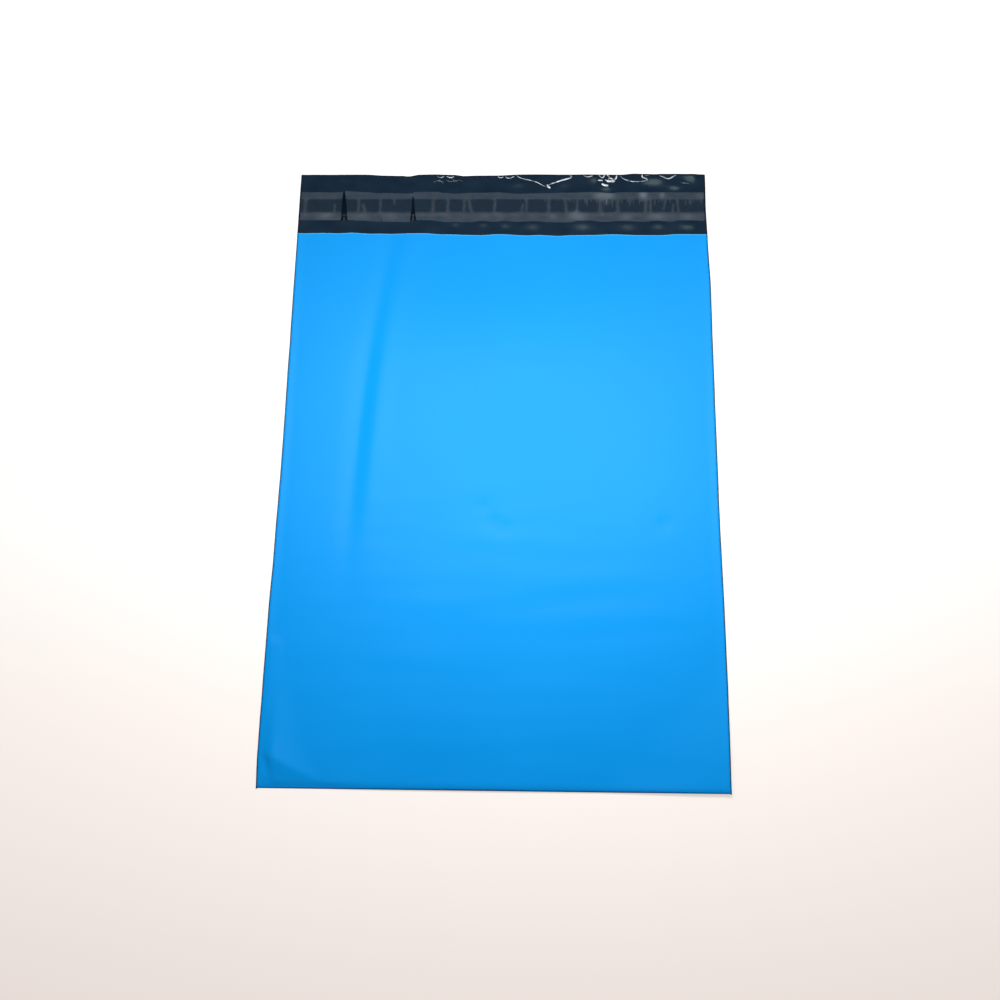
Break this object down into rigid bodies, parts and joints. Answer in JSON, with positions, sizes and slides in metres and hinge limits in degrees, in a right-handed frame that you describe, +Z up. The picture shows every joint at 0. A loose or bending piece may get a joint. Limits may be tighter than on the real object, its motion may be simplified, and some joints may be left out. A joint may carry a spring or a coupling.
{
  "type": "poly mailer bag",
  "caption": "Flat plastic film mailing bag with welded sides, a folded bottom, and a lip that carries an adhesive strip under a peel-off liner.",
  "frame": {"origin": "on the table, under the middle of the bag's outline", "axes": "+X across the bag, +Y from the bottom fold to the lip's top edge, +Z up from the table through the front panel"},
  "size_m": [0.254, 0.3756, 0.0029],
  "materials": {
    "blue_film": "satin",
    "adhesive": "gloss",
    "liner_film": "satin"
  },
  "bodies": {
    "root": {"film_bag": "blue_film", "adhesive_strip": "adhesive", "release_liner": "liner_film"}
  },
  "joints": []
}
